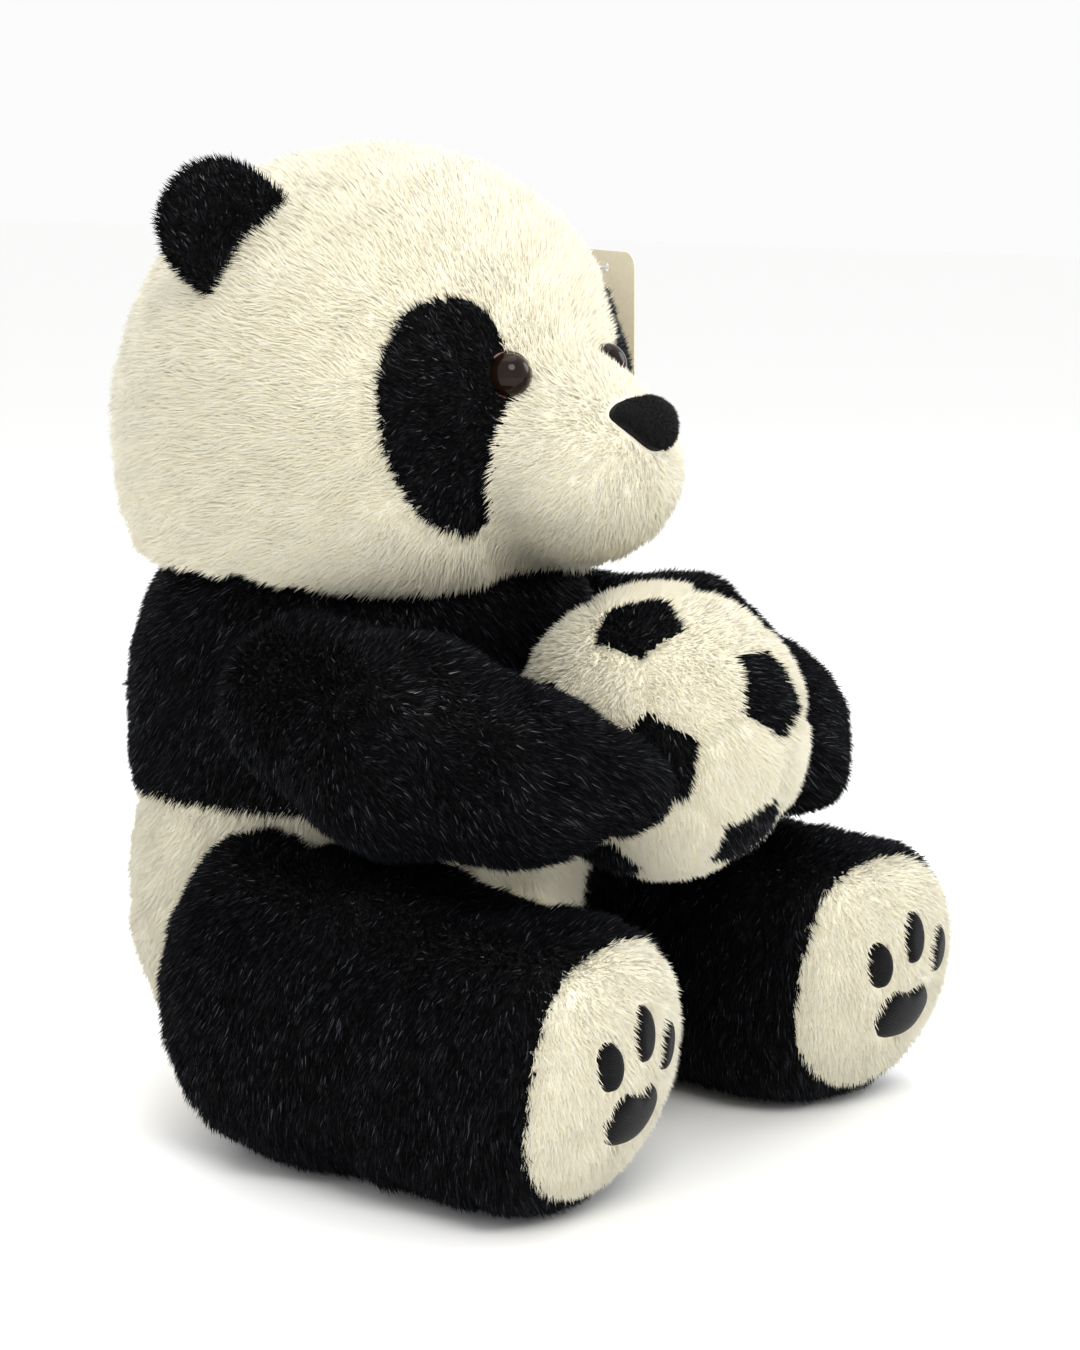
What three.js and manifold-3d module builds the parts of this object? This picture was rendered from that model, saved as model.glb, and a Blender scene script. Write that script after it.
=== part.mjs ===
// A plush panda that sits with a plush football between its paws: plush covers sewn from
// panels over stuffed cores, plastic safety eyes with their lock washers, a velour nose,
// stitched toe pads and a card hang tag.
// Millimetres. While it is built, +X is forward, +Y is the panda's left, +Z is up, and z = 0
// is the surface that it sits on. The finished group is turned to face -Y, with the middle of
// its base at the origin.
import * as THREE from "three";
import { mergeVertices } from "three/addons/utils/BufferGeometryUtils.js";
import Module from "manifold-3d";

const wasm = await Module();
wasm.setup();

const V = (x, y, z) => new THREE.Vector3(x, y, z);
const degrees = THREE.MathUtils.degToRad;
const FORWARD = V(1, 0, 0);
const UP = V(0, 0, 1);
const RIGHT = -1;
const LEFT = 1;
const SIDES = [RIGHT, LEFT];
const sideName = (side) => (side === RIGHT ? "right" : "left");
const onSide = (side, v) => V(v.x, side * v.y, v.z);

// ---- Driving dimensions ----
const PLUSH = 6; // backing cloth and pile together
const SEAM_GAP = 0.4; // left between pieces that touch
const JOINT_GAP = 1.8; // left between pieces that move on each other

const NECK_PIVOT = V(-40, 0, 185); // the head turns and nods about this point
const NECK_Z = 251; // the lower edge of the head
const TORSO_CROWN_RADIUS = 115;
const NECK_RADIUS = 123;

const SHOULDER = V(4, 96, 203);
const SHOULDER_RADII = V(44, 44, 44);
const HIP = V(-20, 104, 74);
const HIP_RADII = V(45, 45, 70);
const BAND_Z = 148; // the seam between the black and the ivory cloth of the torso

const FOOT = V(199, 110, 64); // the middle of the sole
const TOE_IN = degrees(4);
const SOLE_TILT = degrees(8); // toes ahead of the heel
const SOLE_DOME_RADIUS = 104;
const SOLE_DEPTH = 27; // of the ivory cloth, from its seam to the front of the dome

const BALL_CENTRE = V(127, 0, 189);
const BALL_RADIUS = 69;
const BALL_TRAVEL = 260;
const BALL_WAY_OUT = V(Math.cos(degrees(30)), 0, Math.sin(degrees(30)));
const PANEL_AHEAD = V(0.166, -0.51, 0.845); // where one black panel of the ball looks
const PANEL_BESIDE = V(0.933, 0.024, 0.363); // and the next one to it

const EYE = V(77, 44, 350);
const EYE_LOOKS = V(0.8, 0.56, 0.2).normalize();
const EYE_RADIUS = 9.5;
const SHANK_RADIUS = 2.5;

const EAR_ROOT = V(-40, 101, 404);
const EAR_ALONG = V(-0.2, 0.59, -0.78).normalize(); // along the seam, outward and down
const EAR_OUT = { right: V(-0.35, 0.62, 0.62), left: V(-0.4, 0.8, 0.44) }; // the left flops
const EAR_RADII = V(35, 42, 8); // along the seam, outward and through

// ---- Fields: functions of a point, negative inside a shape and about its distance ----
const ellipsoid = (centre, radii, squareness = 2) => (p) => {
  const x = Math.abs(p.x - centre.x) / radii.x;
  const y = Math.abs(p.y - centre.y) / radii.y;
  const z = Math.abs(p.z - centre.z) / radii.z;
  const reach = (x ** squareness + y ** squareness + z ** squareness) ** (1 / squareness);
  return (reach - 1) * Math.min(p.distanceTo(centre) / Math.max(reach, 1e-6), 400);
};

const sphere = (centre, radius) => (p) => p.distanceTo(centre) - radius;

// A rounded cone between two points, with a radius at each.
const taper = (a, radiusA, b, radiusB) => (p) => {
  const along = b.clone().sub(a);
  const share = p.clone().sub(a).dot(along) / along.lengthSq();
  const t = THREE.MathUtils.clamp(share, 0, 1);
  const nearest = a.clone().addScaledVector(along, t);
  return p.distanceTo(nearest) - THREE.MathUtils.lerp(radiusA, radiusB, t);
};

// The union of fields, with valleys softened over about `softness`.
const blend =
  (softness, ...fields) =>
  (p) =>
    fields
      .map((field) => field(p))
      .reduce((a, b) => {
        const h = Math.max(softness - Math.abs(a - b), 0) / softness;
        return Math.min(a, b) - (h * h * softness) / 4;
      });

const common = (a, b) => (p) => Math.max(a(p), b(p));

// ---- Solids ----
function solid(geometry) {
  const bare = geometry.clone();
  bare.deleteAttribute("normal");
  bare.deleteAttribute("uv");
  const merged = mergeVertices(bare, 1e-4);
  const mesh = new wasm.Mesh({
    numProp: 3,
    vertProperties: new Float32Array(merged.attributes.position.array),
    triVerts: new Uint32Array(merged.index.array),
  });
  return new wasm.Manifold(mesh);
}

function geometryOf(manifold) {
  const mesh = manifold.getMesh();
  const geometry = new THREE.BufferGeometry();
  geometry.setAttribute("position", new THREE.BufferAttribute(mesh.vertProperties, 3));
  geometry.setIndex(new THREE.BufferAttribute(mesh.triVerts, 1));
  return geometry;
}

// A sphere whose corners are moved along their own rays from `centre` to the field's surface,
// or to `inset` under it. Its poles lie on the `poles` direction.
function puffed(field, centre, inset, { around = 14, along = 10, poles = UP } = {}) {
  const REACH = 320;
  const geometry = new THREE.SphereGeometry(1, around, along);
  const turn = new THREE.Quaternion().setFromUnitVectors(V(0, 1, 0), poles);
  const position = geometry.attributes.position;
  const ray = new THREE.Vector3();
  for (let i = 0; i < position.count; i++) {
    ray.fromBufferAttribute(position, i).normalize().applyQuaternion(turn);
    let near = 0;
    let far = REACH;
    while (far - near > 1e-3) {
      const middle = (near + far) / 2;
      const inside = field(centre.clone().addScaledVector(ray, middle)) < -inset;
      if (inside) near = middle;
      else far = middle;
    }
    position.setXYZ(i, ...centre.clone().addScaledVector(ray, near).toArray());
  }
  return solid(geometry);
}

function box(low, high) {
  const size = high.clone().sub(low);
  const middle = low.clone().add(high).multiplyScalar(0.5);
  const geometry = new THREE.BoxGeometry(size.x, size.y, size.z);
  return solid(geometry.translate(middle.x, middle.y, middle.z));
}

const FAR = 500;
const above = (z) => box(V(-FAR, -FAR, z), V(FAR, FAR, FAR));
const below = (z) => box(V(-FAR, -FAR, -FAR), V(FAR, FAR, z));

function globe(centre, radius, around = 14, along = 8) {
  const geometry = new THREE.SphereGeometry(radius, around, along).rotateX(Math.PI / 2);
  return solid(geometry.translate(centre.x, centre.y, centre.z));
}

function rod(from, to, radius, sides = 12) {
  const along = to.clone().sub(from);
  const middle = from.clone().add(to).multiplyScalar(0.5);
  const geometry = new THREE.CylinderGeometry(radius, radius, along.length(), sides);
  const turn = new THREE.Quaternion().setFromUnitVectors(V(0, 1, 0), along.normalize());
  return solid(geometry.applyQuaternion(turn).translate(middle.x, middle.y, middle.z));
}

// A matrix that takes drawing axes to space: x across, y upright, z toward `facing`.
function drawingBoard(origin, facing, up) {
  const across = up.clone().cross(facing).normalize();
  const upright = facing.clone().cross(across).normalize();
  const board = new THREE.Matrix4().makeBasis(across, upright, facing.clone().normalize());
  return board.setPosition(origin);
}

// A drawn outline pushed `depth` both ways through its board.
function prism(shape, origin, facing, up, depth) {
  const settings = { depth: 2 * depth, bevelEnabled: false, curveSegments: 3 };
  const geometry = new THREE.ExtrudeGeometry(shape, settings).translate(0, 0, -depth);
  return solid(geometry.applyMatrix4(drawingBoard(origin, facing, up)));
}

function ovalOutline(width, height, x, y, lean) {
  const shape = new THREE.Shape();
  shape.absellipse(x, y, width / 2, height / 2, 0, 2 * Math.PI, false, lean);
  return shape;
}

// A smooth closed outline through a few points, mirrored for one side of the body.
function smoothOutline(points, mirror = 1, grow = 0) {
  const corners = points.map(([x, y]) => {
    const corner = V(mirror * x, y, 0);
    return corner.setLength(corner.length() + grow);
  });
  const curve = new THREE.CatmullRomCurve3(corners, true);
  const sampled = curve.getPoints(points.length * 2).slice(0, -1);
  return new THREE.Shape(sampled.map((p) => new THREE.Vector2(p.x, p.y)));
}

// ---- Materials ----
const surface = (color, roughness) =>
  new THREE.MeshStandardMaterial({ color, roughness, metalness: 0 });
const ivoryPlush = surface("#f5eecb", 0.95);
const blackPlush = surface("#0b0b0d", 0.95);
const blackVelour = surface("#0a0a0a", 0.85);
const blackThread = surface("#060606", 0.6);
const fibrefill = surface("#f4f4f2", 1);
const eyePlastic = surface("#100b08", 0.08);
const washerPlastic = surface("#e8e4d8", 0.45);
const tagCard = surface("#e6dfc9", 0.8);
const clearNylon = surface("#dfe3e4", 0.3);

const panda = new THREE.Group();

function add(name, manifold, material) {
  const mesh = new THREE.Mesh(geometryOf(manifold), material);
  mesh.name = name;
  panda.add(mesh);
}

// ---- The ball and its way out ----
const ballGlobe = (radius) => {
  const geometry = new THREE.IcosahedronGeometry(radius, 2);
  return solid(geometry.translate(BALL_CENTRE.x, BALL_CENTRE.y, BALL_CENTRE.z));
};
const WAY_STEPS = 14;
const ballWayEnd = BALL_CENTRE.clone().addScaledVector(BALL_WAY_OUT, BALL_TRAVEL);
const ballWay = (grow) => {
  const radius = (BALL_RADIUS + JOINT_GAP + grow) / Math.cos(Math.PI / WAY_STEPS);
  return globe(BALL_CENTRE, radius).add(rod(BALL_CENTRE, ballWayEnd, radius, WAY_STEPS));
};

// The middles of the twelve black panels, which are the corners of an icosahedron.
function panelDirections() {
  const step = Math.atan(2);
  const pole = PANEL_AHEAD.clone().normalize();
  const lean = PANEL_BESIDE.clone().addScaledVector(pole, -PANEL_BESIDE.dot(pole)).normalize();
  const side = pole.clone().cross(lean);
  const ring = [0, 1, 2, 3, 4].map((i) => {
    const turn = (i * 2 * Math.PI) / 5;
    return pole
      .clone()
      .multiplyScalar(Math.cos(step))
      .addScaledVector(lean, Math.sin(step) * Math.cos(turn))
      .addScaledVector(side, Math.sin(step) * Math.sin(turn));
  });
  const half = [pole, ...ring];
  return [...half, ...half.map((d) => d.clone().negate())];
}

// A five-sided cone from the middle of the ball, whose corners point at the nearest panels.
function panelCone(direction, directions, widen) {
  const PANEL_SHARE = 0.365; // of the radius, from a panel's middle to its corner
  const reach = BALL_RADIUS * 1.25;
  const geometry = new THREE.CylinderGeometry(reach * PANEL_SHARE + widen, 0.01, reach, 5);
  geometry.translate(0, reach / 2, 0);
  const neighbour = directions.find((d) => d !== direction && d.dot(direction) > 0.4);
  const corner = neighbour.clone().addScaledVector(direction, -neighbour.dot(direction));
  const across = direction.clone().cross(corner).normalize();
  const place = new THREE.Matrix4().makeBasis(across, direction, corner.normalize());
  return solid(geometry.applyMatrix4(place.setPosition(BALL_CENTRE)));
}

function buildBall() {
  const wall = ballGlobe(BALL_RADIUS).subtract(ballGlobe(BALL_RADIUS - PLUSH));
  const directions = panelDirections();
  let ivory = wall;
  directions.forEach((direction, i) => {
    const panel = wall.intersect(panelCone(direction, directions, 0));
    add(`ball_black_panel_${i + 1}`, panel, blackPlush);
    ivory = ivory.subtract(panelCone(direction, directions, SEAM_GAP * 1.6));
  });
  add("ball_ivory_panels", ivory, ivoryPlush);
  add("ball_stuffing", ballGlobe(BALL_RADIUS - PLUSH - SEAM_GAP), fibrefill);
}

// ---- Torso ----
const torsoField = blend(
  20,
  ellipsoid(V(-42, 0, 101), V(104, 115, 110), 2.3),
  ellipsoid(V(-42, 0, 200), V(98, 108, 92), 3),
);
const TORSO_MIDDLE = V(-42, 0, 130);
const torsoGrown = (grow) => puffed(torsoField, TORSO_MIDDLE, -grow);
// The round ends that the limbs turn on, grown by `grow`. A socket is widened so that its flats
// clear the corners of the end that turns in it.
const ROUND_END = { around: 14, along: 8 };
const SOCKET_SHARE = 1 / Math.cos(Math.PI / ROUND_END.around);
const roundEnd = (centre, radii, share = 1) => {
  const geometry = new THREE.SphereGeometry(1, ROUND_END.around, ROUND_END.along);
  geometry.rotateX(Math.PI / 2).scale(radii.x * share, radii.y * share, radii.z);
  return solid(geometry.translate(centre.x, centre.y, centre.z));
};
const hipEnd = (side, grow, share) =>
  roundEnd(onSide(side, HIP), HIP_RADII.clone().addScalar(grow), share);
const shoulderEnd = (side, grow, share) =>
  roundEnd(onSide(side, SHOULDER), SHOULDER_RADII.clone().addScalar(grow), share);

const NECK_STEPS = 18;
const neckGlobe = (radius) => globe(NECK_PIVOT, radius, NECK_STEPS, 12);

// The torso's shape `inset` under its surface, hollowed where the legs and arms turn.
function torsoShape(inset) {
  let shape = torsoGrown(-inset).intersect(above(inset));
  for (const side of SIDES) {
    shape = shape.subtract(hipEnd(side, JOINT_GAP + inset, SOCKET_SHARE));
    shape = shape.subtract(shoulderEnd(side, JOINT_GAP + inset, SOCKET_SHARE));
  }
  return shape;
}

function buildTorso() {
  const crown = neckGlobe(TORSO_CROWN_RADIUS);
  const roof = above(NECK_PIVOT.z).subtract(crown);
  const wall = torsoShape(0).subtract(torsoShape(PLUSH)).subtract(roof);
  // The neck is open: the stuffing of the torso meets that of the neck there.
  const neckHole = rod(V(NECK_PIVOT.x, 0, 230), V(NECK_PIVOT.x, 0, 400), 62, 32);
  const open = wall.subtract(neckHole);
  add("torso_black_cover", open.intersect(above(BAND_Z + SEAM_GAP)), blackPlush);
  add("torso_ivory_cover", open.intersect(below(BAND_Z)), ivoryPlush);
  const core = torsoShape(PLUSH + SEAM_GAP).subtract(roof);
  add("torso_stuffing", core, fibrefill);
}

function buildNeck() {
  const outer = neckGlobe(NECK_RADIUS - JOINT_GAP);
  const inner = neckGlobe((TORSO_CROWN_RADIUS + JOINT_GAP) / Math.cos(Math.PI / NECK_STEPS));
  add("neck_stuffing", outer.subtract(inner).intersect(above(NECK_Z)), fibrefill);
}

// ---- Limbs ----
const legField = blend(
  22,
  ellipsoid(HIP, HIP_RADII),
  ellipsoid(V(36, 107, 69), V(86, 62, 76), 2.4),
  ellipsoid(V(132, 110, 62), V(78, 63, 67), 2.7),
);
const LEG_MIDDLE = V(60, 108, 70);
const soleLooks = (side) =>
  V(Math.cos(TOE_IN), -side * Math.sin(TOE_IN), -Math.tan(SOLE_TILT)).normalize();
const domeMiddle = (side) =>
  onSide(side, FOOT).addScaledVector(soleLooks(side), -SOLE_DOME_RADIUS);
const soleDome = (p) => {
  const fromMiddle = p.clone().sub(domeMiddle(LEFT));
  return fromMiddle.dot(soleLooks(LEFT)) > 0 ? fromMiddle.length() - SOLE_DOME_RADIUS : -FAR;
};

// Each arm runs from the shoulder over its elbow and wrist to the tip of its paw. The left
// paw holds the ball lower than the right one.
const ARM_RADII = { elbow: 44, wrist: 36, tip: 25 };
const ARMS = {
  right: { elbow: V(72, 116, 199), wrist: V(128, 106, 190), tip: V(158, 80, 183) },
  left: { elbow: V(62, 110, 197), wrist: V(116, 102, 174), tip: V(150, 80, 162) },
};
const armField = ({ elbow, wrist, tip }) =>
  blend(
    16,
    taper(SHOULDER, SHOULDER_RADII.x, elbow, ARM_RADII.elbow),
    taper(elbow, ARM_RADII.elbow, wrist, ARM_RADII.wrist),
    taper(wrist, ARM_RADII.wrist, tip, ARM_RADII.tip),
  );
const armShape = (side, inset) => {
  const arm = ARMS[sideName(side)];
  return limbShape(side, armField(arm), arm.elbow, shoulderEnd, inset);
};

const sidedPuff = (side, field, middle, inset) => {
  const sided = side === RIGHT ? (p) => field(V(p.x, -p.y, p.z)) : field;
  return puffed(sided, onSide(side, middle), inset, { poles: FORWARD });
};
const legGrown = (side, grow) =>
  sidedPuff(side, common(legField, soleDome), LEG_MIDDLE, -grow);

// A limb's shape `inset` under its surface. Where it lies in the torso, it keeps only the
// round end that turns there, and it leaves room for the ball.
function limbShape(side, field, middle, end, inset) {
  const whole = sidedPuff(side, field, middle, inset);
  const torsoPart = torsoGrown(JOINT_GAP + inset).subtract(end(side, -inset));
  return whole.subtract(torsoPart).subtract(ballWay(inset));
}

function buildArm(side) {
  const name = sideName(side);
  const shape = (inset) => armShape(side, inset);
  const shoulder = onSide(side, SHOULDER);
  const inward = V(shoulder.x, 0, shoulder.z);
  const cover = shape(0).subtract(shape(PLUSH)).subtract(rod(shoulder, inward, 22, 24));
  add(`${name}_arm_cover`, cover, blackPlush);
  add(`${name}_arm_stuffing`, shape(PLUSH + SEAM_GAP), fibrefill);
}

function buildLeg(side) {
  const name = sideName(side);
  const field = common(legField, soleDome);
  const shape = (inset) =>
    limbShape(side, field, LEG_MIDDLE, hipEnd, inset)
      .intersect(above(inset))
      .subtract(armShape(side, -JOINT_GAP - inset));
  const wall = shape(0).subtract(shape(PLUSH));
  add(`${name}_leg_cover`, wall.subtract(aheadOfSeam(side, 0)), blackPlush);
  add(`${name}_sole`, wall.intersect(aheadOfSeam(side, SEAM_GAP)), ivoryPlush);
  add(`${name}_leg_stuffing`, shape(PLUSH + SEAM_GAP), fibrefill);
  buildPads(side);
}

// The half of space ahead of the seam between the leg's cloth and the sole's.
function aheadOfSeam(side, gap) {
  const half = new THREE.Shape();
  half.absellipse(0, 0, FAR, FAR, 0, 2 * Math.PI);
  const start = onSide(side, FOOT).addScaledVector(soleLooks(side), FAR - SOLE_DEPTH + gap);
  return prism(half, start, soleLooks(side), UP, FAR);
}

// Three toe pads and a heel pad, stitched thread skins that lie on the domed sole.
function buildPads(side) {
  const THREAD = 1.2;
  const TOES = {
    inner_toe_pad: ovalOutline(13, 21, -side * 23, 8, side * 0.2),
    middle_toe_pad: ovalOutline(13, 23, 0, 18, 0),
    outer_toe_pad: ovalOutline(13, 21, side * 23, 8, -side * 0.2),
  };
  const HEEL = smoothOutline([[0, -9], [11, -7], [19, -17], [13, -28], [0, -31],
    [-13, -28], [-19, -17], [-11, -7]]);
  const skin = legGrown(side, SEAM_GAP + THREAD)
    .subtract(legGrown(side, SEAM_GAP))
    .intersect(aheadOfSeam(side, SEAM_GAP));
  const sole = onSide(side, FOOT);
  for (const [pad, outline] of Object.entries({ ...TOES, heel_pad: HEEL })) {
    const column = prism(outline, sole, soleLooks(side), UP, 30);
    add(`${sideName(side)}_${pad}`, skin.intersect(column), blackThread);
  }
}

// ---- Head ----
const headField = blend(
  16,
  ellipsoid(V(-33, 0, 340), V(114, 127, 110)),
  ellipsoid(V(-33, 0, 306), V(108, 119, 84), 2.7),
  ellipsoid(V(82, 0, 304), V(50, 54, 47)),
  ellipsoid(V(66, 0, 332), V(42, 34, 28)),
);
const HEAD_MIDDLE = V(-12, 0, 325);
const headGrown = (grow) =>
  puffed(headField, HEAD_MIDDLE, -grow, { around: 18, along: 15, poles: FORWARD });
const muzzleRegion = (grow) => {
  const centre = V(96, 0, 302);
  return puffed(ellipsoid(centre, V(60, 62, 58)), centre, -grow, { along: 10, poles: FORWARD });
};

const PATCH = V(58, 72, 332);
const PATCH_LOOKS = V(0.85, 0.53, 0);
const PATCH_OUTLINE = [[8, 53], [-14, 46], [-28, 25], [-31, 2], [-26, -22], [-13, -44],
  [4, -54], [22, -54], [34, -30], [34, 10], [33, 32], [24, 48]];
const patchColumn = (side, grow) => {
  const outline = smoothOutline(PATCH_OUTLINE, -side, grow);
  return prism(outline, onSide(side, PATCH), onSide(side, PATCH_LOOKS), UP, 45);
};

const eyePoint = (side, out) =>
  onSide(side, EYE).addScaledVector(onSide(side, EYE_LOOKS), out);
const EYE_SEAT = -2.5; // how deep the back of an eye sits in the plush
const WASHER_OUT = -PLUSH - 5;
const WASHER_THICKNESS = 2;
const WASHER_RADIUS = 7;

// Everything that is cut out of the head's cover and stuffing for one eye.
function eyeRoom(side) {
  const seatBack = eyePoint(side, EYE_SEAT - SEAM_GAP);
  const seat = rod(seatBack, eyePoint(side, 30), EYE_RADIUS + SEAM_GAP);
  const hole = rod(eyePoint(side, -22), eyePoint(side, 0), SHANK_RADIUS + SEAM_GAP, 10);
  return seat.add(hole);
}

function buildEye(side) {
  const name = sideName(side);
  const back = eyePoint(side, EYE_SEAT);
  const dome = globe(back, EYE_RADIUS, 12, 6).intersect(rod(back, eyePoint(side, 30), 20));
  const shank = rod(eyePoint(side, -20), back, SHANK_RADIUS, 10);
  add(`${name}_eye`, dome.add(shank), eyePlastic);
  const washerBack = eyePoint(side, WASHER_OUT - WASHER_THICKNESS);
  const washer = rod(washerBack, eyePoint(side, WASHER_OUT), WASHER_RADIUS);
  add(`${name}_eye_washer`, washer.subtract(eyeRoom(side)), washerPlastic);
}

function buildHead() {
  const neckCut = neckGlobe(NECK_RADIUS / Math.cos(Math.PI / NECK_STEPS)).add(below(NECK_Z));
  const wall = headGrown(0).subtract(headGrown(-PLUSH)).subtract(neckCut);
  let cover = wall.subtract(muzzleRegion(SEAM_GAP));
  let stuffing = headGrown(-PLUSH - SEAM_GAP).subtract(neckCut);
  let muzzle = wall.intersect(muzzleRegion(0));
  for (const side of SIDES) {
    const patch = cover.intersect(patchColumn(side, 0)).subtract(eyeRoom(side));
    add(`${sideName(side)}_eye_patch`, patch, blackPlush);
    cover = cover.subtract(patchColumn(side, SEAM_GAP)).subtract(eyeRoom(side));
    cover = cover.subtract(earSlot(side));
    muzzle = muzzle.subtract(eyeRoom(side));
    const pocketBack = eyePoint(side, WASHER_OUT - WASHER_THICKNESS - SEAM_GAP);
    const pocket = rod(pocketBack, eyePoint(side, 0), WASHER_RADIUS + SEAM_GAP);
    stuffing = stuffing.subtract(eyeRoom(side)).subtract(pocket).subtract(earSlot(side));
    buildEye(side);
  }
  add("head_cover", cover, ivoryPlush);
  add("muzzle_cover", muzzle, ivoryPlush);
  add("head_stuffing", stuffing, fibrefill);
}

function buildNose() {
  const NOSE_THICKNESS = 5;
  const OUTLINE = [[0, 13], [12, 12], [19, 6], [13, -5], [5, -12], [-5, -12], [-13, -5],
    [-19, 6], [-12, 12]];
  const column = prism(smoothOutline(OUTLINE), V(122, 0, 327), V(0.93, 0, 0.37), UP, 26);
  const pad = headGrown(NOSE_THICKNESS).subtract(headGrown(SEAM_GAP)).intersect(column);
  add("nose", pad, blackVelour);
}

// ---- Ears ----
const ROOT_RADIUS = 6;
const earEnd = (side, share) =>
  onSide(side, EAR_ROOT).addScaledVector(onSide(side, EAR_ALONG), share * (EAR_RADII.x - 4));
const earSlot = (side) => rod(earEnd(side, -1.05), earEnd(side, 1.05), ROOT_RADIUS + JOINT_GAP);

function buildEar(side) {
  const along = onSide(side, EAR_ALONG);
  const out = onSide(side, EAR_OUT[sideName(side)]).normalize();
  const through = along.clone().cross(out).normalize();
  if (through.x < 0) through.negate();
  const place = new THREE.Matrix4().makeBasis(along, out, along.clone().cross(out).normalize());
  const geometry = new THREE.SphereGeometry(1, 14, 10).scale(EAR_RADII.x, EAR_RADII.y, EAR_RADII.z);
  const root = onSide(side, EAR_ROOT);
  const pillow = solid(geometry.applyMatrix4(place.setPosition(root)));
  const clearOfHead = pillow.subtract(headGrown(3));
  const whole = clearOfHead.add(rod(earEnd(side, -1), earEnd(side, 1), ROOT_RADIUS));
  const half = (facing) => {
    const slab = new THREE.BoxGeometry(200, 200, 100).translate(0, 0, 50 + SEAM_GAP / 2);
    return whole.intersect(solid(slab.applyMatrix4(drawingBoard(root, facing, UP))));
  };
  add(`${sideName(side)}_ear_front`, half(through), blackPlush);
  add(`${sideName(side)}_ear_back`, half(through.clone().negate()), blackPlush);
}

// ---- Hang tag ----
function buildTag() {
  const CARD = { width: 50, height: 72, thickness: 0.8, corner: 8 };
  const HOLE_RADIUS = 2.2;
  const TAG_LOOKS = V(0.39, 0.92, 0).normalize();
  const hole = V(6, 130, 386);
  const half = CARD.width / 2;
  const top = 8;
  const bottom = top - CARD.height;
  const shape = new THREE.Shape();
  shape.absarc(half - CARD.corner, top - CARD.corner, CARD.corner, 0, Math.PI / 2);
  shape.absarc(CARD.corner - half, top - CARD.corner, CARD.corner, Math.PI / 2, Math.PI);
  shape.absarc(CARD.corner - half, bottom + CARD.corner, CARD.corner, Math.PI, 1.5 * Math.PI);
  shape.absarc(half - CARD.corner, bottom + CARD.corner, CARD.corner, 1.5 * Math.PI, 2 * Math.PI);
  const opening = new THREE.Path();
  opening.absarc(0, 0, HOLE_RADIUS, 0, 2 * Math.PI, true);
  shape.holes.push(opening);
  add("hang_tag", prism(shape, hole, TAG_LOOKS, UP, CARD.thickness / 2), tagCard);

  // The nylon pin runs from the head's cloth through the hole, and a knob ends it.
  const outward = V(0.3, 0.95, 0).normalize();
  const start = hole.clone().addScaledVector(outward, -40);
  const end = hole.clone().addScaledVector(outward, 5);
  const knob = rod(end, end.clone().addScaledVector(outward, 1.5), 3.2);
  const pin = rod(start, end, 0.9, 10).subtract(headGrown(SEAM_GAP));
  add("tag_fastener", pin.add(knob), clearNylon);
}

buildBall();
buildTorso();
buildNeck();
for (const side of SIDES) {
  buildArm(side);
  buildLeg(side);
  buildEar(side);
}
buildHead();
buildNose();
buildTag();

// ---- Turn the panda to face -Y and put the middle of its base at the origin ----
panda.rotation.z = -Math.PI / 2;
panda.updateMatrixWorld(true);
const bounds = new THREE.Box3().setFromObject(panda, true);
const middle = bounds.getCenter(new THREE.Vector3());
panda.position.set(-middle.x, -middle.y, -bounds.min.z);

export default panda;
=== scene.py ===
# A plush panda with a plush football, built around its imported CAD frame.
# Shapes are worked out in the toy's own axes, in millimetres: x forward, y to its left, z up.
# place() turns them into the frame's metres, where the toy faces -Y.
import math

import bmesh
import bpy
import numpy as np
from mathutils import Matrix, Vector


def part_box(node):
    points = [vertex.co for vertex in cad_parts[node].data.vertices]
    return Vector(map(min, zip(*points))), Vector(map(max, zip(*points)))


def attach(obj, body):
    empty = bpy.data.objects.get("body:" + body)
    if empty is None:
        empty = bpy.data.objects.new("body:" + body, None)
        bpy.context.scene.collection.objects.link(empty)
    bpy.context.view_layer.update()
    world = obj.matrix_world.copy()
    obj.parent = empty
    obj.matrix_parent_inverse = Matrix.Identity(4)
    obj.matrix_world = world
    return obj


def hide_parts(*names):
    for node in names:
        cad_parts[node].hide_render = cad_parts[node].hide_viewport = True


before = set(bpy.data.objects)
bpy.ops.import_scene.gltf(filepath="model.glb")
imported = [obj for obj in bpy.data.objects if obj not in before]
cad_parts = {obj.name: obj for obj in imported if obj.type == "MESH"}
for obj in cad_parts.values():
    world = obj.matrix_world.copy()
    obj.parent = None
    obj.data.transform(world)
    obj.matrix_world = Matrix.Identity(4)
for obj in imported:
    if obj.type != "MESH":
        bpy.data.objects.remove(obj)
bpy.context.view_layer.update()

RIGHT, LEFT = -1, 1
SIDES = {"right": RIGHT, "left": LEFT}
MM = 0.001

# ---- Driving dimensions, in the toy's axes ----
NECK_PIVOT = np.array([-40.0, 0, 185])
NECK_Z = 251.0
TORSO_CROWN_RADIUS = 120.0
SEAT_Z = -3.0  # flattens the underside; the cloth there lies PILE higher
HEAD_HOLLOW = 121.0  # the underside of the head, round the neck
BAND_Z = 148.0
BALL_CENTRE = np.array([127.0, 0, 189])
BALL_RADIUS = 69.0
FOOT = np.array([199.0, 110, 64])
TOE_IN = math.radians(4)
SOLE_TILT = math.radians(8)
SOLE_DOME_RADIUS = 104.0
SOLE_DEPTH = 27.0
SHOULDER = np.array([4.0, 96, 203])
HIP = np.array([-20.0, 104, 74])
EYE = np.array([79.0, 43, 350])
EYE_LOOKS = np.array([0.8, 0.56, 0.2])
EYE_RADIUS = 10.0
EYE_INSET = 3.2  # how far the eye's seat lies under the head's surface
PILE = 6.0  # how far the cloth lies under the tips of the pile
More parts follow.
